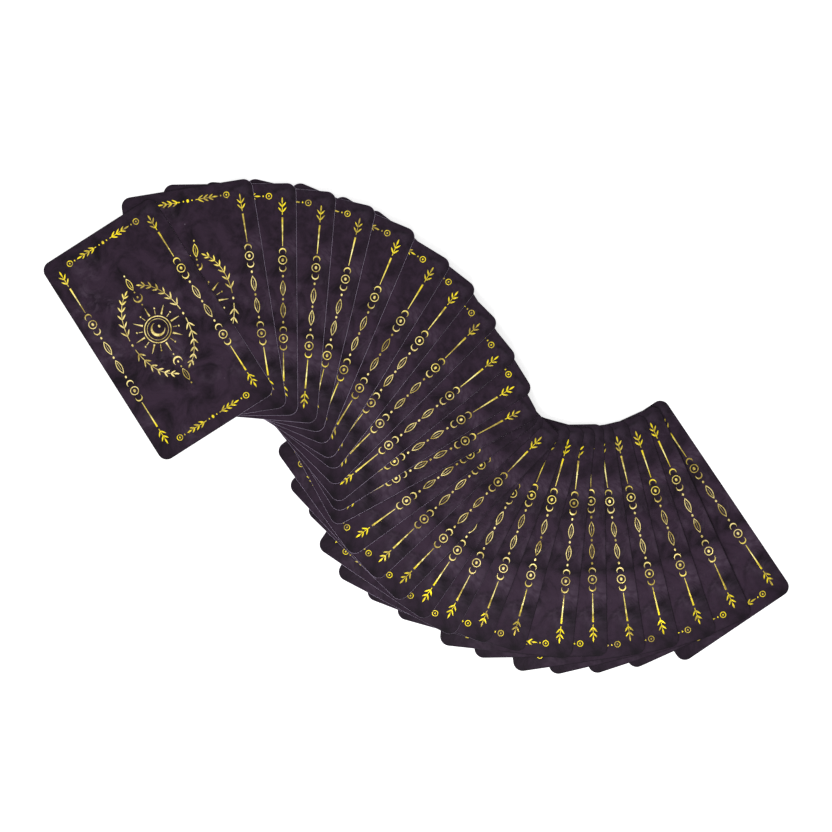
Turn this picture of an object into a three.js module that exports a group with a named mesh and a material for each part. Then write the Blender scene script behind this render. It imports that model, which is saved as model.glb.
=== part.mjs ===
import * as THREE from 'three';

// An oracle card deck, dealt face down by hand into one S-shaped ribbon spread.
// Every card is a flat slab of coated stock that leans on the cards dealt before it.
// Millimetres, +Z up, and the table is the plane z = 0.

const cardWidth = 70;
const cardLength = 122;
const cardThickness = 0.35;
const cornerRadius = 5;
const edgeEase = 0.05;      // the soft arris that die cutting leaves on both faces
const airGap = 0.05;        // kept between two cards where they touch
const planMargin = 0.4;     // plan allowance for the shift that tilting gives an outline
const cornerSteps = 6;      // straight steps in each rounded corner
const maxExchanges = 500;   // far more foot exchanges than a card of this spread needs
const roundingError = 1e-7; // a support this little above the plane counts as on it

// The spot that a card bears down on, near its left edge and near the end on the sweep's wide
// side. That end is the top one in the left fan and the bottom one in the rest of the ribbon.
const bearingFromLeft = 12;
const bearingFromEnd = 8;
const leftFanCards = 5;

// Where each card lies, read by eye off the photograph, enlarged under a ruled grid of
// millimetres: the middle of the line printed along the card's right side, in steps of the
// place grid to the right and up, and how many degrees the card is turned clockwise from
// upright. That line is the one thing that shows on every card. On card 16 its middle is
// covered, and was judged from the rest of the line.
// The first card is the one on top of all the others and the last was dealt first.
const placeGrid = 1;
const sideLineInset = 7.5;  // from a card's long edge to the line printed along it
const places = [
  // left fan, from the far left round to the right
  [-112.5, 60, -32.5],
  [-84.5, 63.5, -9],
  [-70, 61, -0.5],
  [-54.5, 57, 5],
  [-42, 51.5, 13.5],
  [-30, 43, 23],
  [-19, 32, 31.5],
  [-11, 23, 38],
  [-4.5, 10.5, 45],
  [1.5, -2.5, 51],
  // the crossing, where the ribbon turns back
  [6, -13, 58],
  [7.5, -23, 61.5],
  [11.5, -32.5, 54],
  [19, -40, 46.5],
  [28.5, -49.5, 44],
  [33, -53.5, 34],
  // right fan, out to the far right
  [41, -59, 27.5],
  [53, -61, 21],
  [65.5, -64, 15.5],
  [80.5, -66.5, 6],
  [92, -65.5, -1],
  [104.5, -65.5, -8.5],
  [117.5, -63, -13.5],
  [132, -59, -18.5],
  [145, -52.5, -24.5],
  [157.5, -45, -34],
];

const cardColour = 0x332836;

/** Corner points of a rounded rectangle, counter-clockwise, grown outwards by `grow`. */
function roundedOutline(grow) {
  const radius = cornerRadius + grow;
  const insetX = cardWidth / 2 + grow - radius;
  const insetY = cardLength / 2 + grow - radius;
  const signs = [[1, 1], [-1, 1], [-1, -1], [1, -1]];
  return signs.flatMap(([sx, sy], corner) => Array.from({ length: cornerSteps + 1 }, (_, i) => {
    const angle = (corner + i / cornerSteps) * Math.PI / 2;
    return new THREE.Vector2(
      sx * insetX + radius * Math.cos(angle),
      sy * insetY + radius * Math.sin(angle),
    );
  }));
}

/** A closed slab with its underside on z = 0: rings of outline points and two fanned faces. */
function cardGeometry() {
  const rings = [
    [-edgeEase, 0],
    [0, edgeEase],
    [0, cardThickness - edgeEase],
    [-edgeEase, cardThickness],
  ];
  const count = roundedOutline(0).length;
  const points = rings.flatMap(([grow, z]) => roundedOutline(grow).flatMap((p) => [p.x, p.y, z]));
  points.push(0, 0, 0, 0, 0, cardThickness);
  const under = rings.length * count;
  const top = under + 1;
  const faces = [];
  for (let i = 0; i < count; i += 1) {
    const next = (i + 1) % count;
    for (let ring = 0; ring < rings.length - 1; ring += 1) {
      const low = ring * count;
      const high = low + count;
      faces.push(low + i, low + next, high + next, low + i, high + next, high + i);
    }
    const last = (rings.length - 1) * count;
    faces.push(under, next, i, top, last + i, last + next);
  }
  const geometry = new THREE.BufferGeometry();
  geometry.setAttribute('position', new THREE.Float32BufferAttribute(points, 3));
  geometry.setIndex(faces);
  geometry.computeVertexNormals();
  return geometry;
}

/** Moves a point of the card's own plan to the place where the card lies. */
function toTable(point, [x, y, turn]) {
  const angle = -turn * Math.PI / 180;
  const lineMiddle = new THREE.Vector2(cardWidth / 2 - sideLineInset, 0);
  const seenAt = new THREE.Vector2(x, y).multiplyScalar(placeGrid);
  return point.clone().sub(lineMiddle).rotateAround(new THREE.Vector2(), angle).add(seenAt);
}

/** Twice the signed area of a triangle, positive when it runs counter-clockwise. */
function area(a, b, c) {
  return (b.x - a.x) * (c.y - a.y) - (b.y - a.y) * (c.x - a.x);
}

/** The common part of two convex outlines, both counter-clockwise. */
function commonOutline(first, second) {
  let kept = first;
  second.forEach((a, i) => {
    const b = second[(i + 1) % second.length];
    const source = kept;
    kept = [];
    source.forEach((p, j) => {
      const q = source[(j + 1) % source.length];
      const sideP = area(a, b, p);
      const sideQ = area(a, b, q);
      if (sideP >= 0) kept.push(p);
      if (sideP * sideQ < 0) kept.push(p.clone().lerp(q, sideP / (sideP - sideQ)));
    });
  });
  return kept;
}

/** The shares of three feet that add up to a point: all positive when it stands between them. */
function shares(point, [a, b, c]) {
  const whole = area(a, b, c);
  return [area(point, b, c) / whole, area(a, point, c) / whole, area(a, b, point) / whole];
}

/** Height over a point of the plane through three feet. */
function heightOver(point, feet) {
  return shares(point, feet).reduce((sum, share, i) => sum + share * feet[i].z, 0);
}

/**
 * How a stiff card comes to rest: the plane that is lowest over the bearing spot and clears
 * every support. Three feet carry it. They start on the table, round the spot. As long as some
 * support stands above their plane, the highest of these becomes a foot, in place of the one
 * that leaves the spot still between the three.
 */
function restingFeet(supports, spot, start) {
  let feet = start;
  for (let exchange = 0; exchange < maxExchanges; exchange += 1) {
    const rise = supports.map((s) => s.z - heightOver(s, feet));
    const highest = rise.indexOf(Math.max(...rise));
    if (rise[highest] < roundingError) break;
    const load = shares(spot, feet);
    const part = shares(supports[highest], feet);
    const ratio = load.map((share, i) => (part[i] > 0 ? share / part[i] : Infinity));
    const leaving = ratio.indexOf(Math.min(...ratio));
    feet = feet.map((foot, i) => (i === leaving ? supports[highest] : foot));
  }
  return feet;
}

/** Lays one card on the table and on the cards already dealt, and gives back how it lies. */
function layCard(place, index, dealt) {
  const outline = roundedOutline(planMargin).map((p) => toTable(p, place));
  const supports = outline.map((p) => new THREE.Vector3(p.x, p.y, 0));
  for (const lower of dealt) {
    for (const p of commonOutline(outline, lower.outline)) {
      supports.push(new THREE.Vector3(p.x, p.y, heightOver(p, lower.topFeet) + airGap));
    }
  }
  const wideEnd = index < leftFanCards ? 1 : -1;
  const spot = toTable(
    new THREE.Vector2(bearingFromLeft - cardWidth / 2, wideEnd * (cardLength / 2 - bearingFromEnd)),
    place,
  );
  const middle = Math.floor(cornerSteps / 2);
  const corners = [0, 1, 2, 3].map((corner) => supports[corner * (cornerSteps + 1) + middle]);
  const start = wideEnd > 0 ? corners.slice(0, 3) : corners.slice(1);
  const feet = restingFeet(supports, spot, start);

  const normal = new THREE.Vector3()
    .crossVectors(feet[1].clone().sub(feet[0]), feet[2].clone().sub(feet[0]))
    .normalize();
  if (normal.z < 0) normal.negate();
  const raise = cardThickness / normal.z;
  const topFeet = feet.map((foot) => new THREE.Vector3(foot.x, foot.y, foot.z + raise));
  return { outline, feet, topFeet, normal };
}

/** Turns a card mesh so that its length follows the place's turn and its face the normal. */
function poseCard(mesh, place, lie) {
  const middle = toTable(new THREE.Vector2(), place);
  const up = toTable(new THREE.Vector2(0, 1), place).sub(middle);
  const rise = -(lie.normal.x * up.x + lie.normal.y * up.y) / lie.normal.z;
  const along = new THREE.Vector3(up.x, up.y, rise).normalize();
  const across = new THREE.Vector3().crossVectors(along, lie.normal);
  mesh.quaternion.setFromRotationMatrix(new THREE.Matrix4().makeBasis(across, along, lie.normal));
  mesh.position.set(middle.x, middle.y, heightOver(middle, lie.feet));
}

function buildDeck() {
  const deck = new THREE.Group();
  deck.name = 'oracle_card_deck';
  const geometry = cardGeometry();
  const dealt = [];
  for (let index = places.length - 1; index >= 0; index -= 1) {
    const lie = layCard(places[index], index, dealt);
    const material = new THREE.MeshStandardMaterial({
      name: 'card_stock',
      color: cardColour,
      roughness: 0.5,
      metalness: 0,
    });
    const card = new THREE.Mesh(geometry.clone(), material);
    card.name = `card_${String(index + 1).padStart(2, '0')}`;
    poseCard(card, places[index], lie);
    deck.add(card);
    dealt.push(lie);
  }
  deck.updateMatrixWorld(true);
  const box = new THREE.Box3().setFromObject(deck, true);
  const middle = box.getCenter(new THREE.Vector3());
  for (const card of deck.children) {
    card.position.sub(new THREE.Vector3(middle.x, middle.y, box.min.z));
  }
  return deck;
}

export default buildDeck();
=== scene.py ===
"""An oracle card deck, spread face down in an S-shaped ribbon on a white table.

Each card is a slab of coated stock with a smoky dark print on its back and a gold foil
design stamped into the print. Sizes are in metres, and the design's in millimetres.
"""

import math

import bpy
import numpy as np
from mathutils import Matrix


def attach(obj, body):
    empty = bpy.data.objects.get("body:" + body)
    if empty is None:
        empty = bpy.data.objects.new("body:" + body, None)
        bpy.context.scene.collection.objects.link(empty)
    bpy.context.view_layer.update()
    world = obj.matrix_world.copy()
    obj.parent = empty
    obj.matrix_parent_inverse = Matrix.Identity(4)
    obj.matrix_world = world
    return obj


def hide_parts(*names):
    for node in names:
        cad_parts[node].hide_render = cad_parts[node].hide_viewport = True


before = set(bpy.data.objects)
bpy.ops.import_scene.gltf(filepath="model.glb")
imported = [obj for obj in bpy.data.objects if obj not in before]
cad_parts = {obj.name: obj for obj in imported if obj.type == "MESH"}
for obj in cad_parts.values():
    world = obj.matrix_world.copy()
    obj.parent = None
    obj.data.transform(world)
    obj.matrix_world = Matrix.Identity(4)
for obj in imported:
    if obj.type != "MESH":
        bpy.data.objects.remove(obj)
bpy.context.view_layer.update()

MM = 0.001

# The slab of one card.
EDGE_EASE = 0.09 * MM           # rounding of the cut edge
EASE_STEPS = 3
CORNER_RADIUS = 5.0 * MM
CORNER_STEPS = 14               # steps round each corner
ARC_ALLOWANCE = 0.02 * MM       # keeps these finer corners within the frame's coarser ones
FACE_RINGS = (0.4, 0.8, 0.985)  # rings of the flat faces, as shares of the outline
# The darkening at a card's edge is a painted shade, for the thin shadows between overlapping cards.
EDGE_SHADE_WIDTH = 0.9 * MM          # how far from the edge the print starts to darken

# The foil: how far it stands out of the print and how far it is pressed into the card.
FOIL_RISE = 0.022 * MM
FOIL_DEPTH = 0.02 * MM
SHOULDER = 0.17                 # width of the foil's sloping sides, as a share of its own
THINNEST = 0.02                 # the foil's narrowest tips, in millimetres

# The design on a card back, in millimetres from the card's middle.
RAIL_X = 27.6                   # the long sides' ornament
RAIL_END = 53.6                 # where it stops
CROSS_Y = 54.2                  # the short sides' ornament
LINE = 0.52                     # width of a plain line
HAIRLINE = 0.30
VEIN_TIP = 0.15                 # width of a leaf's vein where it runs out
BEAD = 0.66                     # radii of the beads
SMALL_BEAD = 0.5
DOT = 0.45
FEW_STEPS = 8                   # points along the smallest beads
SUN_RADIUS = 7.0
RAYS = 16
WREATH = (15.8, 25.6)           # half axes of the oval that the leaf sprays follow
LEAF_PAIRS = 6                  # on each quarter of the wreath

RULE_MIDDLE = 0.29              # of a long rule, in card lengths from the card's middle

# The print is darkest on an oval round the card. These are one over its half axes, across
# and along, in card lengths.
OVAL = (2.0, 1.45)

# The left fan's card edges are painted pale, a painted light as if they caught the lamp,
# which fades over the crossing; the topmost card and the right fan keep dark ones. Both
# stretches are along the spread, in metres.
LIT_EDGES_FROM = (-0.100, -0.088)
LIT_EDGES_TO = (-0.025, 0.048)

# Colours of the print, the stock and the table.
INK_DARK = (0.0045, 0.0014, 0.0050)
INK = (0.0342, 0.0178, 0.0350)
SMOKE = (0.112, 0.079, 0.117)
FLECK = (0.16, 0.13, 0.16)
CORNER_SHADE = (0.44, 0.42, 0.47)   # what the print is multiplied by in a card's corners
# Along the edges this is a painted shade, for the thin shadows between overlapping cards.
PAINTED_EDGE_SHADE = (0.45, 0.42, 0.46)      # and along its edges
STOCK = (0.80, 0.74, 0.82)
STOCK_FIBRE = (0.55, 0.49, 0.57)
# Pale stock where the rim is rubbed through, also used as the painted light on the left fan's card
# edges.
RUBBED_LIT_STOCK = (0.46, 0.38, 0.52)
TABLE_GREYS = ((0.80, 0.80, 0.80), (0.83, 0.83, 0.83))
WHITE = (1, 1, 1)

# Colours of the foil, on its flat top and on its worn slopes and ends. The pale tones are
# a painted sheen towards a card's middle, and the glint is a painted highlight on the long
# rules.
OLD_GOLD = (0.33, 0.245, 0.055)
PALE_SHEEN_GOLD = (0.78, 0.65, 0.26)
LEMON_GOLD = (0.80, 0.64, 0.02)
PAINTED_GLINT = (0.96, 0.88, 0.40)
WORN_OLD = (0.20, 0.145, 0.030)
WORN_PALE_SHEEN = (0.38, 0.30, 0.105)
WORN_LEMON = (0.40, 0.30, 0.01)

# The camera looks straight down, as the photograph does.
CAMERA_HEIGHT = 1.5
VIEW_WIDTH = 0.4376             # width of the table that the picture takes in
VIEW_MIDDLE = (-0.0001, 0.0055)
SENSOR = 36.0                   # in millimetres

# Light and table. A lamp has a place, the side of its square and a power in watts.
WORLD_LEVEL = 0.45              # how strongly the white surroundings light the cards
KEY_LAMP = ((-0.05, -0.46, 0.66), 0.35, 3.5)
FILL_LAMP = ((-0.5, 0.5, 1.3), 1.0, 2.0)
TABLE_LIFT = 0.64               # extra white that only the camera and reflections see
TABLE_SIZE = 12.0
TABLE_DROP = 0.02 * MM          # how far the table's top is below the lowest card


# Where the cards lie.

def node_points(node):
    """The corner points of a CAD node, each once."""
    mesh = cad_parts[node].data
    flat = np.empty(len(mesh.vertices) * 3)
    mesh.vertices.foreach_get("co", flat)
    return np.unique(flat.reshape(-1, 3).round(7), axis=0)


class Card:
    """Where one card lies: its middle, its axes across, along and out of it, and its size.

    The slab is symmetric, so its own axes are the principal axes of its corner points.
    """

    def __init__(self, node):
        points = node_points(node)
        self.middle = points.mean(axis=0)
        spread = points - self.middle
        _, principal = np.linalg.eigh(spread.T @ spread)
        normal = principal[:, 0] * np.sign(principal[2, 0])
        along = principal[:, 2] * np.sign(principal[1, 2])
        self.axes = np.array([np.cross(along, normal), along, normal])
        self.width, self.length, self.thickness = np.ptp(spread @ self.axes.T, axis=0)

    def place(self, local):
        """Puts points given across, along and out of the card where the card lies."""
        return self.middle + local @ self.axes


# Meshes.

def new_mesh(name, points, faces, materials, face_materials=None, uv=None):
    """A mesh from an array of points and a list of faces, each a tuple of point numbers."""
    mesh = bpy.data.meshes.new(name)
    mesh.from_pydata(points.tolist(), [], faces)
    for material in materials:
        mesh.materials.append(material)
    if face_materials is not None:
        mesh.polygons.foreach_set("material_index", face_materials)
    if uv is not None:
        layer = mesh.uv_layers.new(name="card")
        corners = np.empty(len(mesh.loops), dtype=np.int32)
        mesh.loops.foreach_get("vertex_index", corners)
        layer.data.foreach_set("uv", uv[corners].ravel())
    return mesh


def new_piece(name, data):
    """An object at the origin that shows a mesh, or holds a lamp or a camera."""
    piece = bpy.data.objects.new(name, data)
    bpy.context.scene.collection.objects.link(piece)
    return piece


def lay(pattern, name, card):
    """A copy of a card-shaped mesh, laid where the card lies."""
    mesh = pattern.copy()
    mesh.name = name
    flat = np.empty(len(mesh.vertices) * 3)
    mesh.vertices.foreach_get("co", flat)
    mesh.vertices.foreach_set("co", card.place(flat.reshape(-1, 3)).ravel())
    mesh.update()
    return new_piece(name, mesh)


# The card's slab.

def rounded_outline(width, length, radius):
    """A rounded rectangle, counter-clockwise: a quarter circle at each corner, joined by sides."""
    corner = np.repeat(np.arange(4), CORNER_STEPS + 1)
    share = np.tile(np.linspace(0, 1, CORNER_STEPS + 1), 4)
    angle = (corner + share) * math.pi / 2
    side_x = np.array([1, -1, -1, 1])[corner] * (width / 2 - radius)
    side_y = np.array([1, 1, -1, -1])[corner] * (length / 2 - radius)
    return np.stack([side_x + radius * np.cos(angle), side_y + radius * np.sin(angle)], axis=1)


def slab_mesh(card, back, cut_edge, underside, rim):
    """A closed slab, as a profile carried round the card's outline.

    The profile goes from the middle of the underside out to the edge, turns up through a
    quarter circle, runs up the cut edge and comes back over the top the same way.
    """
    printed, bare, under, inked_rim = range(4)  # its materials, in the order that the mesh has them
    half = card.thickness / 2
    turn = np.linspace(0, math.pi / 2, EASE_STEPS + 1)
    inset = EDGE_EASE * (1 - np.sin(turn))
    drop = EDGE_EASE * (1 - np.cos(turn))
    rows = [(share, EDGE_EASE, -half) for share in FACE_RINGS]
    rows += [(1, i, d - half) for i, d in zip(inset, drop)]
    rows += [(1, i, half - d) for i, d in zip(inset[::-1], drop[::-1])]
    rows += [(share, EDGE_EASE, half) for share in FACE_RINGS[::-1]]
    rings = []
    for share, ring_inset, height in rows:
        inset_by = ring_inset + ARC_ALLOWANCE
        outline = rounded_outline(
            card.width - 2 * inset_by,
            card.length - 2 * inset_by,
            CORNER_RADIUS - inset_by,
        )
        rings.append(np.column_stack([outline * share, np.full(len(outline), height)]))
    count = len(rings[0])
    points = np.vstack([*rings, [[0, 0, -half], [0, 0, half]]])
    under_middle = len(rings) * count

    # The ink wraps over the eased edge of the top, and the rest of the edge is bare stock.
    flat_bands = len(FACE_RINGS)
    bands = [under] * flat_bands + [bare] * (EASE_STEPS + 1)
    bands += [inked_rim] * EASE_STEPS + [printed] * flat_bands
    i = np.arange(count)
    j = (i + 1) % count
    faces = np.column_stack([np.full(count, under_middle), j, i]).tolist()
    for row in range(len(bands)):
        low, high = row * count, (row + 1) * count
        faces += np.column_stack([low + i, low + j, high + j, high + i]).tolist()
    last = len(bands) * count
    faces += np.column_stack([np.full(count, under_middle + 1), last + i, last + j]).tolist()
    kinds = np.repeat([under, *bands, printed], count)
    uv = plane_coordinates(points, card)
    return new_mesh("slab", points, faces, [back, cut_edge, underside, rim], kinds, uv)


def plane_coordinates(points, card):
    """The UV map of both meshes, in card lengths, with the card's middle at 0.5."""
    return points[:, :2] / card.length + 0.5


# Foil shapes. Each is a ribbon between a left and a right rail, and says whether it closes.

def stroke(points, widths):
    """A ribbon that follows points, half its width to each side of their path."""
    points = np.asarray(points, dtype=float)
    step = np.gradient(points, axis=0)
    step /= np.linalg.norm(step, axis=1, keepdims=True)
    side = np.column_stack([-step[:, 1], step[:, 0]])
    half = np.maximum(np.broadcast_to(widths, len(points)), THINNEST)[:, None] / 2
    return points + side * half, points - side * half, False


def rule(x0, y0, x1, y1, width, end_width):
    """A straight ribbon whose width changes evenly from one end to the other."""
    return stroke([[x0, y0], [x1, y1]], [width, end_width])


def disc(x, y, radius, steps=10):
    """A filled circle: a ribbon along its diameter, as wide as the circle is there."""
    angle = np.linspace(0, math.pi, steps)
    path = np.column_stack([np.full(steps, x), y - radius * np.cos(angle)])
    half = np.maximum(radius * np.sin(angle), THINNEST / 2)[:, None] * [1, 0]
    return path - half, path + half, False


def ring(x, y, radius, width, steps=48):
    """A closed ribbon round a circle."""
    angle = np.linspace(0, 2 * math.pi, steps, endpoint=False)
    direction = np.column_stack([np.cos(angle), np.sin(angle)])
    middle = np.array([x, y])
    inner = middle + direction * (radius - width / 2)
    outer = middle + direction * (radius + width / 2)
    return inner, outer, True


def leaf(x, y, heading, length, width):
    """A filled leaf: a stroke whose width swells as a sine and ends in two points.

    The sine is raised to a power under one, which makes the leaf a little fuller.
    """
    steps, fullness = 12, 0.85
    share = np.linspace(0, 1, steps)
    heading = math.radians(heading)
    direction = np.array([math.cos(heading), math.sin(heading)])
    path = np.array([x, y]) + np.outer(share * length, direction)
    return stroke(path, width * np.sin(share * math.pi) ** fullness)


def leaf_outline(x, y, heading, length, width):
    """An open leaf: a closed ribbon between two lenses, one inside the other.

    A lens is two parabolas that meet in its tips. The inner one is a line's width smaller
    all round, and so shorter by the line's width over the sine of the tip's half angle.
    """
    steps = 28
    angle = np.linspace(0, 2 * math.pi, steps, endpoint=False)
    tip = math.atan2(2 * width, length)
    loops = []
    for end, side in ((LINE / math.sin(tip), LINE), (0, 0)):
        along = length / 2 - (length / 2 - end) * np.cos(angle)
        across = -(width / 2 - side) * np.sin(angle) * np.abs(np.sin(angle))
        loops.append(np.column_stack([along, across]))
    c, s = math.cos(math.radians(heading)), math.sin(math.radians(heading))
    turn = np.array([[c, s], [-s, c]])
    return loops[0] @ turn + [x, y], loops[1] @ turn + [x, y], True


def crescent(x, y, radius, opening, steps=20):
    """A moon between two arcs that meet in its horns, open towards an angle in degrees.

    The inner circle is shifted towards the opening, and its radius takes it through the
    horns of the outer one, which stand an angle to either side of the opening.
    """
    horn = math.radians(48)
    shift = 0.3 * radius
    tip = np.array([-radius * math.sin(horn), radius * math.cos(horn)])
    inner_radius = math.hypot(tip[0], tip[1] - shift)
    inner_start = math.atan2(tip[1] - shift, tip[0])
    outer_angle = np.linspace(math.pi / 2 + horn, 5 * math.pi / 2 - horn, steps)
    inner_angle = np.linspace(inner_start, 3 * math.pi - inner_start, steps)
    outer = radius * np.column_stack([np.cos(outer_angle), np.sin(outer_angle)])
    inner = inner_radius * np.column_stack([np.cos(inner_angle), np.sin(inner_angle)])
    inner[:, 1] += shift
    turn = math.radians(opening) - math.pi / 2
    rotation = np.array([[math.cos(turn), math.sin(turn)], [-math.sin(turn), math.cos(turn)]])
    return inner @ rotation + [x, y], outer @ rotation + [x, y], False


def mirrored(shape, side_x, side_y):
    """The shape on another side of the card's middle. A mirrored one swaps its rails."""
    left, right, closed = shape
    left, right = left * [side_x, side_y], right * [side_x, side_y]
    if side_x * side_y < 0:
        left, right = right, left
    return left, right, closed


# The design on the card backs: moons, leaves, beads and a sun in a wreath. Its sizes are in
# millimetres and its headings in degrees, from the card's width towards its length.

def sprig(x, y, heading, length, pairs, spread):
    """A stem with leaves in pairs, each pair a step further along it, and one at its tip.

    A pair's leaves are turned from the stem by the spread, one to either side, and each pair
    is shorter than the one before it.
    """
    first_leaf, shorter_by, leaf_width = 3.5, 0.25, 0.95
    tip_leaf, tip_width = 3.4, 1.05
    first_pair = 0.4            # where it sits, in steps from the stem's foot
    turn = math.radians(heading)
    out = np.array([math.cos(turn), math.sin(turn)])
    foot = np.array([x, y])
    tip = foot + out * length
    shapes = [rule(x, y, *tip, LINE, HAIRLINE)]
    for k in range(pairs):
        root = foot + out * length * (k + first_pair) / pairs
        leaf_length = first_leaf - shorter_by * k
        for side in (-1, 1):
            shapes.append(leaf(*root, heading + side * spread, leaf_length, leaf_width))
    shapes.append(leaf(*tip, heading, tip_leaf, tip_width))
    return shapes


def long_side():
    """Half of one long side: a bud, a full moon between two crescents, a rule and a sprig."""
    bud, bud_length, bud_width = 1.5, 8.6, 3.0
    vein, vein_end = bud + 1.8, bud + 6.2
    moon, moon_radius, moon_bead = 20.6, 2.1, 0.85
    phase, phase_radius = 4.5, 1.9          # from the full moon to a crescent
    stem, stem_length = RAIL_END - 9.2, 5.8
    rule_start, rule_end = moon + phase + 2.8, stem - 1.4
    rule_width, rule_end_width = 0.42, 1.12
    shapes = [
        leaf_outline(RAIL_X, bud, 90, bud_length, bud_width),
        rule(RAIL_X, vein, RAIL_X, vein_end, HAIRLINE, VEIN_TIP),
        disc(RAIL_X, bud + 10.6, BEAD),
        crescent(RAIL_X, moon - phase, phase_radius, 90),
        ring(RAIL_X, moon, moon_radius, LINE),
        disc(RAIL_X, moon, moon_bead),
        crescent(RAIL_X, moon + phase, phase_radius, 270),
        rule(RAIL_X, rule_start, RAIL_X, rule_end, rule_width, rule_end_width),
    ]
    return shapes + sprig(RAIL_X, stem, 90, stem_length, pairs=2, spread=38)


def short_side():
    """Half of one short side: beads, a sprig that points to the corner, and a ringed bead."""
    ringed, ring_radius = 20.6, 1.45
    stem, stem_length = 4.2, 8.6
    shapes = [
        disc(stem - 1.9, CROSS_Y, DOT, FEW_STEPS),
        disc(ringed - 3.0, CROSS_Y, DOT, FEW_STEPS),
        ring(ringed, CROSS_Y, ring_radius, LINE, steps=24),
        disc(ringed, CROSS_Y, SMALL_BEAD, FEW_STEPS),
    ]
    return shapes + sprig(stem, CROSS_Y, 0, stem_length, pairs=3, spread=32)


def wreath_quarter():
    """A quarter of the wreath: a stem along an oval, with leaves in pairs that point out of it.

    A pair's leaves are turned to either side of the oval's tangent where they stand.
    """
    stem_from, stem_to = 6, 70              # angles on the oval, in degrees
    first_pair, between_pairs = 12, 10.6
    stem_steps, stem_width = 17, 0.5
    first_leaf, shorter_by, leaf_width, spread = 4.1, 0.22, 1.0, 36
    tip_leaf, tip_width = 3.2, 1.1
    across, along = WREATH
    angle = np.radians(np.linspace(stem_from, stem_to, stem_steps))
    stem = np.column_stack([across * np.cos(angle), along * np.sin(angle)])
    shapes = [stroke(stem, np.linspace(stem_width, HAIRLINE, stem_steps))]
    for k in range(LEAF_PAIRS):
        at = math.radians(first_pair + between_pairs * k)
        x, y = across * math.cos(at), along * math.sin(at)
        heading = math.degrees(math.atan2(along * math.cos(at), -across * math.sin(at)))
        leaf_length = first_leaf - shorter_by * k
        for side in (-1, 1):
            shapes.append(leaf(x, y, heading + side * spread, leaf_length, leaf_width))
    heading = math.degrees(math.atan2(*(stem[-1] - stem[-2])[::-1]))
    shapes.append(leaf(*stem[-1], heading, tip_leaf, tip_width))
    return shapes


def sun():
    """Two rings round a moon, and rays: long tapered ones and short ones that end in beads."""
    ring_width, ring_gap = 0.62, 1.4
    moon_radius, moon_opening = 3.9, 35
    star, star_radius = (1.5, 1.05), 0.75
    ray_start = SUN_RADIUS + 1.1
    short_end, short_width, bead_at = 10.2, 0.4, 11.2
    long_end, long_width, long_tip = 13.3, 1.25, 0.12
    shapes = [
        ring(0, 0, SUN_RADIUS, ring_width),
        ring(0, 0, SUN_RADIUS - ring_gap, HAIRLINE),
        crescent(0, 0, moon_radius, moon_opening, steps=32),
        disc(*star, star_radius),
    ]
    for k in range(RAYS):
        angle = 2 * math.pi * k / RAYS
        out = np.array([math.cos(angle), math.sin(angle)])
        root = out * ray_start
        if k % 2:
            shapes.append(rule(*root, *(out * short_end), short_width, short_width))
            shapes.append(disc(*(out * bead_at), SMALL_BEAD, FEW_STEPS))
        else:
            shapes.append(rule(*root, *(out * long_end), long_width, long_tip))
    return shapes


def middle_marks():
    """What stands on the card's two axes of symmetry and is drawn once for each side."""
    across, top = WREATH
    bud, bud_length, bud_width = top - 1.6, 7.6, 2.9
    vein, vein_end = top + 0.2, top + 4.0
    moon, moon_radius, moon_bead = 19.4, 2.5, 0.6
    large_bead = 0.9
    sides = [disc(RAIL_X, 0, BEAD), disc(across, 0, BEAD)]
    ends = [
        disc(0, CROSS_Y, large_bead),
        disc(0, moon - 4.0, DOT, FEW_STEPS),
        crescent(0, moon, moon_radius, 90),
        disc(0, moon + 0.6, moon_bead),
        leaf_outline(0, bud, 90, bud_length, bud_width),
        rule(0, vein, 0, vein_end, HAIRLINE, VEIN_TIP),
        disc(0, top + 7.4, SMALL_BEAD, FEW_STEPS),
        disc(0, top - 2.6, SMALL_BEAD, FEW_STEPS),
    ]
    return sides, ends


def design():
    """Every foil shape of one card back, laid out alike in the card's four quarters."""
    shapes = sun()
    sides, ends = middle_marks()
    for side in (1, -1):
        shapes += [mirrored(s, side, 1) for s in sides]
        shapes += [mirrored(s, 1, side) for s in ends]
    for shape in long_side() + short_side() + wreath_quarter():
        shapes += [mirrored(shape, x, y) for x in (1, -1) for y in (1, -1)]
    return shapes


def foil_mesh(shapes, card, gold, worn_gold):
    """All foil shapes as closed bands, a little in and a little out of the card's surface.

    Each band has four corners at every point along it: left low, left high, right high and
    right low. The high ones stand a shoulder's width further in, and the slopes between are
    worn gold. An open band gets an end face at both ends.
    """
    bright, worn = range(2)         # the foil's materials, in the order that the mesh has them
    slopes = (0, 2)                 # of a band's four sides, counted from left low
    surface = card.thickness / 2
    low, high = surface - FOIL_DEPTH, surface + FOIL_RISE
    blocks, faces, kinds, start = [], [], [], 0
    for left, right, closed in shapes:
        count = len(left)
        inwards = SHOULDER * (right - left)
        corners = [(left, low), (left + inwards, high), (right - inwards, high), (right, low)]
        block = np.stack(
            [np.column_stack([rail * MM, np.full(count, z)]) for rail, z in corners], axis=1
        )
        blocks.append(block.reshape(-1, 3))
        i = np.arange(count if closed else count - 1)
        j = (i + 1) % count
        for k in range(4):
            n = (k + 1) % 4
            quads = np.column_stack([4 * i + k, 4 * i + n, 4 * j + n, 4 * j + k])
            faces += (start + quads).tolist()
            kinds += [worn if k in slopes else bright] * len(quads)
        if not closed:
            end = start + 4 * (count - 1)
            faces.append([start + 3, start + 2, start + 1, start])
            faces.append([end, end + 1, end + 2, end + 3])
            kinds += [worn, worn]
        start += 4 * count
    points = np.vstack(blocks)
    uv = plane_coordinates(points, card)
    return new_mesh("foil", points, faces, [gold, worn_gold], kinds, uv)


# Materials.

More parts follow.
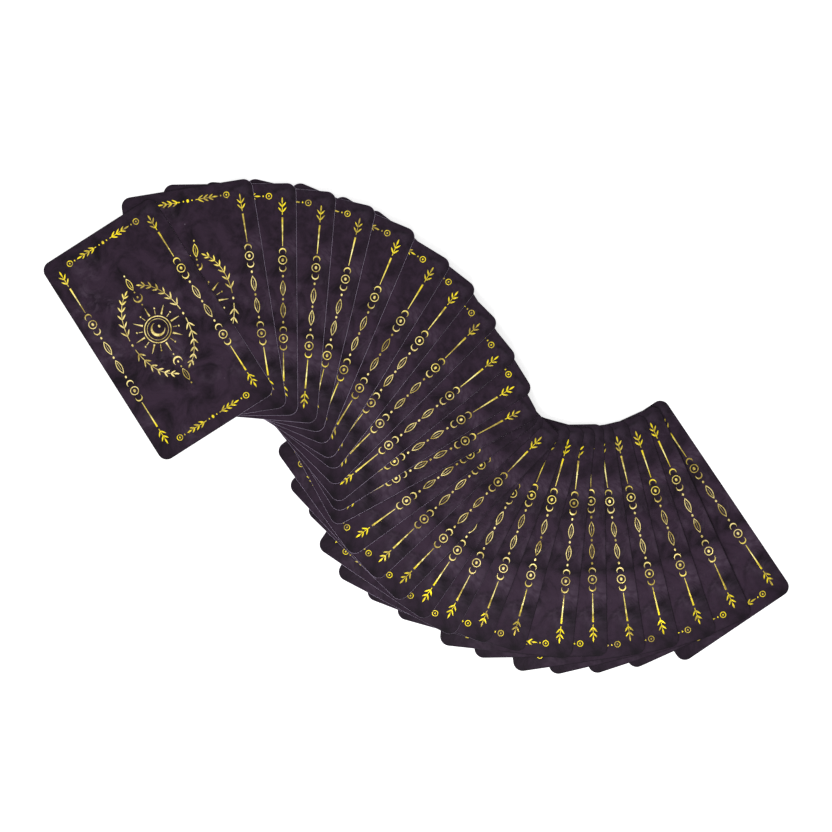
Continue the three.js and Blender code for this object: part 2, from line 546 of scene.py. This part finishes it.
class Material:
    """A node material with one Principled shader, and short ways to add nodes to it."""

    def __init__(self, name):
        self.data = bpy.data.materials.new(name)
        self.data.use_nodes = True
        self.tree = self.data.node_tree
        self.shader = self.tree.nodes["Principled BSDF"]

    def put(self, socket, value):
        """Links an output socket into a socket, or writes a value or an opaque colour on it."""
        if isinstance(value, bpy.types.NodeSocket):
            self.tree.links.new(value, socket)
        elif socket.type == "RGBA":
            socket.default_value = (*value, 1)
        else:
            socket.default_value = value

    def node(self, kind, inputs=None, **settings):
        """Adds a node. An input is a value, or the output socket of another node."""
        node = self.tree.nodes.new(kind)
        for key, value in settings.items():
            setattr(node, key, value)
        for key, value in (inputs or {}).items():
            self.put(node.inputs[key], value)
        return node

    def set(self, **inputs):
        """Sets the shader's sockets by name, with underscores for spaces."""
        for key, value in inputs.items():
            self.put(self.shader.inputs[key.replace("_", " ")], value)

    def noise(self, where, scale, detail=4.0, roughness=0.55, distortion=0.0):
        """A noise texture's grey value. The scale counts per card length, or per metre."""
        inputs = {
            "Vector": where,
            "Scale": scale,
            "Detail": detail,
            "Roughness": roughness,
            "Distortion": distortion,
        }
        return self.node("ShaderNodeTexNoise", inputs).outputs["Fac"]

    def ramp(self, fac, *stops):
        """A colour ramp between two (position, colour) stops."""
        node = self.node("ShaderNodeValToRGB", {"Fac": fac})
        for element, (position, colour) in zip(node.color_ramp.elements, stops):
            element.position = position
            element.color = (*colour, 1)
        return node.outputs["Color"]

    def stretch(self, value, start, end, low=0.0, high=1.0):
        """Maps a grey value's range from start to end onto low to high."""
        inputs = {
            "Value": value,
            "From Min": start,
            "From Max": end,
            "To Min": low,
            "To Max": high,
        }
        return self.node("ShaderNodeMapRange", inputs).outputs["Result"]

    def mix(self, fac, first, second, blend="MIX"):
        """Mixes two colours, or multiplies them."""
        node = self.node("ShaderNodeMix", data_type="RGBA", blend_type=blend)
        self.put(node.inputs[0], fac)
        self.put(node.inputs[6], first)
        self.put(node.inputs[7], second)
        return node.outputs[2]

    def math(self, operation, first, second=0.0):
        """Joins two grey values. An operation on one value takes no notice of the second."""
        node = self.node("ShaderNodeMath", operation=operation)
        self.put(node.inputs[0], first)
        self.put(node.inputs[1], second)
        return node.outputs[0]

    def bump(self, height, strength, distance, over=None):
        """The normal of a surface with relief, laid over another normal if one is given."""
        inputs = {"Height": height, "Strength": strength, "Distance": distance}
        if over is not None:
            inputs["Normal"] = over
        return self.node("ShaderNodeBump", inputs).outputs["Normal"]

    def card_plane(self):
        """The place on a card, the same on every card."""
        return self.node("ShaderNodeUVMap", uv_map="card").outputs["UV"]

    def object_place(self):
        """The place on the whole spread, another one on each card."""
        return self.node("ShaderNodeTexCoord").outputs["Object"]


def printed_back(card):
    """Aubergine ink with drifts of paler smoke, darker towards the card's edges.

    The ink goes from dark to plain with a noise. Smoke is mixed in where a fine noise and a
    broad one are both high, and not in the corners. The corners and the shade are taken from
    one minus the distance from the card's middle, measured on an oval. In the last part of a
    millimetre the ink is darker again, a painted shade that stands in for the thin shadows
    between overlapping cards: how near an edge is comes from the larger of the distances
    from the card's two middle lines, each counted from that edge. Flecks are the middles of
    a few random cells.
    """
    m = Material("printed back")
    place = m.card_plane()
    drift = m.noise(place, 9.0, detail=8.0, roughness=0.66, distortion=0.6)
    ink = m.ramp(drift, (0.34, INK_DARK), (0.58, INK))
    fine = m.noise(place, 12.0, detail=9.0, roughness=0.66, distortion=1.0)
    broad = m.noise(place, 4.4, detail=3.0)
    wisps = m.math("MULTIPLY", m.stretch(fine, 0.46, 0.74), m.stretch(broad, 0.49, 0.64))

    on_oval = {
        "Vector": place,
        "Scale": (*OVAL, 1.0),
        "Location": (-OVAL[0] / 2, -OVAL[1] / 2, 0.0),
    }
    oval = m.node("ShaderNodeMapping", on_oval).outputs["Vector"]
    gradient = m.node("ShaderNodeTexGradient", {"Vector": oval}, gradient_type="SPHERICAL")
    inwards = gradient.outputs["Fac"]
    off_corners = m.stretch(inwards, 0.08, 0.34)
    smoky = m.mix(m.math("MULTIPLY", off_corners, wisps), ink, SMOKE)
    shade = m.ramp(inwards, (0.03, CORNER_SHADE), (0.42, WHITE))
    sheet = m.mix(1.0, smoky, shade, "MULTIPLY")

    # Painted shade: the print darkens in the last part of a millimetre at each card's edge, for the
    # thin shadows between overlapping cards.
    axes = m.node("ShaderNodeSeparateXYZ", {"Vector": place}).outputs
    beyond = [
        m.math("SUBTRACT", m.math("ABSOLUTE", m.math("SUBTRACT", axes[name], 0.5)), half)
        for name, half in (("X", 0.5 * card.width / card.length), ("Y", 0.5))
    ]
    near = m.stretch(m.math("MAXIMUM", *beyond), -EDGE_SHADE_WIDTH / card.length, 0.0)
    rim = m.ramp(near, (0.3, WHITE), (0.9, PAINTED_EDGE_SHADE))
    shaded = m.mix(1.0, sheet, rim, "MULTIPLY")

    where = m.object_place()
    specks = m.node("ShaderNodeTexVoronoi", {"Vector": where, "Scale": 150.0}).outputs
    dot = m.stretch(specks["Distance"], 0.06, 0.035)
    rare = m.stretch(specks["Color"], 0.8, 0.82)
    grain = m.noise(where, 2600.0, detail=2.0)
    m.set(
        Base_Color=m.mix(m.math("MULTIPLY", dot, rare), shaded, FLECK),
        Roughness=m.stretch(m.noise(where, 60.0), 0.3, 0.7, 0.44, 0.54),
        Specular_IOR_Level=0.1,
        Normal=m.bump(grain, strength=0.12, distance=0.04 * MM),
    )
    return m.data


def cut_edge():
    """The pale core of the stock, with darker fibres along the cut."""
    m = Material("cut edge")
    fibre = m.noise(m.object_place(), 900.0, detail=3.0, roughness=0.6)
    m.set(
        Base_Color=m.ramp(fibre, (0.35, STOCK_FIBRE), (0.6, STOCK)),
        Roughness=0.85,
        Specular_IOR_Level=0.2,
        Normal=m.bump(fibre, strength=0.3, distance=0.05 * MM),
    )
    return m.data


def worn_and_lit_rim():
    """The ink where it wraps over the eased edge, rubbed through to the stock in spots and
    painted pale, as if lit, on the left fan's cards.

    How much pale stock shows is a noise for the rubbing, times a painted-light value that is
    one over the stretch of the spread whose edges are painted lit and falls to nothing at
    both of its ends.
    """
    m = Material("worn and lit rim")
    where = m.object_place()
    rub = m.stretch(m.noise(where, 120.0, detail=3.0), 0.3, 0.5, 0.45, 1.0)
    # The stretch along the spread is painted light: it makes the left fan's card edges pale, as if
    # lit.
    along = m.node("ShaderNodeSeparateXYZ", {"Vector": where}).outputs["X"]
    begun = m.stretch(along, *LIT_EDGES_FROM)
    ended = m.stretch(along, *LIT_EDGES_TO, 1.0, 0.0)
    bare = m.math("MULTIPLY", rub, m.math("MULTIPLY", begun, ended))
    m.set(
        Base_Color=m.mix(bare, INK_DARK, RUBBED_LIT_STOCK),
        Roughness=0.6,
        Specular_IOR_Level=0.1,
    )
    return m.data


def plain_side():
    """The side that lies on the table: the same ink, with no smoke and no foil."""
    m = Material("plain side")
    grain = m.noise(m.object_place(), 40.0, detail=5.0)
    m.set(
        Base_Color=m.ramp(grain, (0.3, INK_DARK), (0.7, INK)),
        Roughness=m.stretch(grain, 0.3, 0.7, 0.46, 0.56),
        Specular_IOR_Level=0.15,
    )
    return m.data


def gold_foil(name, pale, lemon, old, highlight):
    """Stamped foil: lemon gold towards a card's ends, a little wavy, finely grained.

    The way along the card is taken as its distance from the card's middle, and a noise moves
    the change of tone about; the paler tone towards the middle is a painted sheen. Round the
    middle of the long rules a painted highlight makes the foil shine most, more on some cards
    than on others. Another noise, of two scales, dulls the foil in patches.
    """
    m = Material(name)
    where = m.object_place()
    along = m.node("ShaderNodeSeparateXYZ", {"Vector": m.card_plane()}).outputs["Y"]
    from_middle = m.math("ABSOLUTE", m.math("SUBTRACT", along, 0.5))
    drift = m.stretch(m.noise(where, 22.0, detail=2.0), 0.3, 0.7, -0.12, 0.12)
    # Paler towards the card's middle: a painted sheen.
    yellow = m.stretch(m.math("ADD", from_middle, drift), 0.14, 0.36)

    # A painted highlight round the middle of the long rules.
    from_rule = m.math("ABSOLUTE", m.math("SUBTRACT", from_middle, RULE_MIDDLE))
    highlight_on_rule = m.stretch(from_rule, 0.05, 0.01, 0.0, 0.85)
    uneven_highlight = m.stretch(m.noise(where, 28.0, detail=2.0), 0.40, 0.56)
    painted_highlight = m.math("MULTIPLY", highlight_on_rule, uneven_highlight)
    bright = m.mix(painted_highlight, m.mix(yellow, pale, lemon), highlight)

    broad = m.noise(where, 60.0, detail=2.0)
    fine = m.noise(where, 420.0, detail=3.0, roughness=0.6)
    dull = m.stretch(m.math("ADD", broad, fine), 0.92, 1.16)
    grain = m.noise(where, 1500.0, detail=3.0)
    wavy = m.bump(m.noise(where, 60.0, detail=1.0), strength=1.0, distance=1.6 * MM)
    m.set(
        Base_Color=m.mix(dull, bright, old),
        Metallic=1.0,
        Roughness=m.stretch(grain, 0.3, 0.7, 0.22, 0.4),
        Normal=m.bump(grain, strength=0.4, distance=0.03 * MM, over=wavy),
    )
    return m.data


# The deck.

def build_deck():
    """Replaces each CAD card with a finished card and lays its foil on it."""
    nodes = sorted(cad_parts)
    cards = {node: Card(node) for node in nodes}
    first = cards[nodes[0]]
    slab = slab_mesh(first, printed_back(first), cut_edge(), plain_side(), worn_and_lit_rim())
    gold = gold_foil("gold foil", PALE_SHEEN_GOLD, LEMON_GOLD, OLD_GOLD, PAINTED_GLINT)
    worn_gold = gold_foil("worn gold", WORN_PALE_SHEEN, WORN_LEMON, WORN_OLD, WORN_PALE_SHEEN)
    foil = foil_mesh(design(), first, gold, worn_gold)
    for node, card in cards.items():
        stock = lay(slab, f"{node}_stock", card)
        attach(stock, node)
        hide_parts(node)
        gilding = lay(foil, f"{node}_foil", card)
        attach(gilding, node)
    for pattern in (slab, foil):
        bpy.data.meshes.remove(pattern)


# Table, light and camera.

def lay_table():
    """A plain white table, which shows white to the camera and still takes a soft shadow."""
    m = Material("table")
    darker, lighter = TABLE_GREYS
    m.set(
        Base_Color=m.ramp(m.noise(m.object_place(), 3.0), (0.3, darker), (0.7, lighter)),
        Roughness=0.9,
        Specular_IOR_Level=0.0,
    )
    seen = m.node("ShaderNodeLightPath").outputs
    looked_at = m.math("MAXIMUM", seen["Is Camera Ray"], seen["Is Glossy Ray"])
    lift = m.math("MULTIPLY", looked_at, TABLE_LIFT)
    glow = m.node("ShaderNodeEmission", {"Color": WHITE, "Strength": lift})
    total = m.node("ShaderNodeAddShader")
    m.put(total.inputs[0], m.shader.outputs["BSDF"])
    m.put(total.inputs[1], glow.outputs["Emission"])
    m.put(m.tree.nodes["Material Output"].inputs["Surface"], total.outputs["Shader"])
    side = TABLE_SIZE / 2
    corners = np.array([[-side, -side], [side, -side], [side, side], [-side, side]])
    points = np.column_stack([corners, np.full(4, -TABLE_DROP)])
    new_piece("table", new_mesh("table", points, [(0, 1, 2, 3)], [m.data]))


def light_world():
    """Even white surroundings. The camera and reflections see them as pure white."""
    world = bpy.data.worlds.new("studio")
    bpy.context.scene.world = world
    world.use_nodes = True
    nodes, links = world.node_tree.nodes, world.node_tree.links
    seen = nodes.new("ShaderNodeLightPath")
    looked_at = nodes.new("ShaderNodeMath")
    looked_at.operation = "MAXIMUM"
    level = nodes.new("ShaderNodeMapRange")
    level.inputs["To Min"].default_value = WORLD_LEVEL
    level.inputs["To Max"].default_value = 1.0
    links.new(seen.outputs["Is Camera Ray"], looked_at.inputs[0])
    links.new(seen.outputs["Is Glossy Ray"], looked_at.inputs[1])
    links.new(looked_at.outputs[0], level.inputs["Value"])
    links.new(level.outputs["Result"], nodes["Background"].inputs["Strength"])
    nodes["Background"].inputs["Color"].default_value = (*WHITE, 1)


def add_softbox(name, place, size, power):
    """A square lamp that faces the middle of the spread, itself out of the camera's sight."""
    lamp = bpy.data.lights.new(name, "AREA")
    lamp.shape = "SQUARE"
    lamp.size = size
    lamp.energy = power
    holder = new_piece(name, lamp)
    holder.location = place
    distance = math.sqrt(sum(v * v for v in place))
    x, y, z = (v / distance for v in place)
    holder.rotation_euler = (math.acos(z), 0, math.atan2(y, x) + math.pi / 2)
    holder.visible_camera = False


def aim_camera():
    """A camera straight above the spread, with the top of the picture towards +Y."""
    camera = bpy.data.cameras.new("camera")
    camera.sensor_width = SENSOR
    camera.lens = SENSOR * CAMERA_HEIGHT / VIEW_WIDTH
    holder = new_piece("camera", camera)
    holder.location = (*VIEW_MIDDLE, CAMERA_HEIGHT)
    bpy.context.scene.camera = holder


build_deck()
lay_table()
light_world()
add_softbox("key", *KEY_LAMP)
add_softbox("fill", *FILL_LAMP)
aim_camera()
bpy.context.scene.view_settings.view_transform = "Standard"
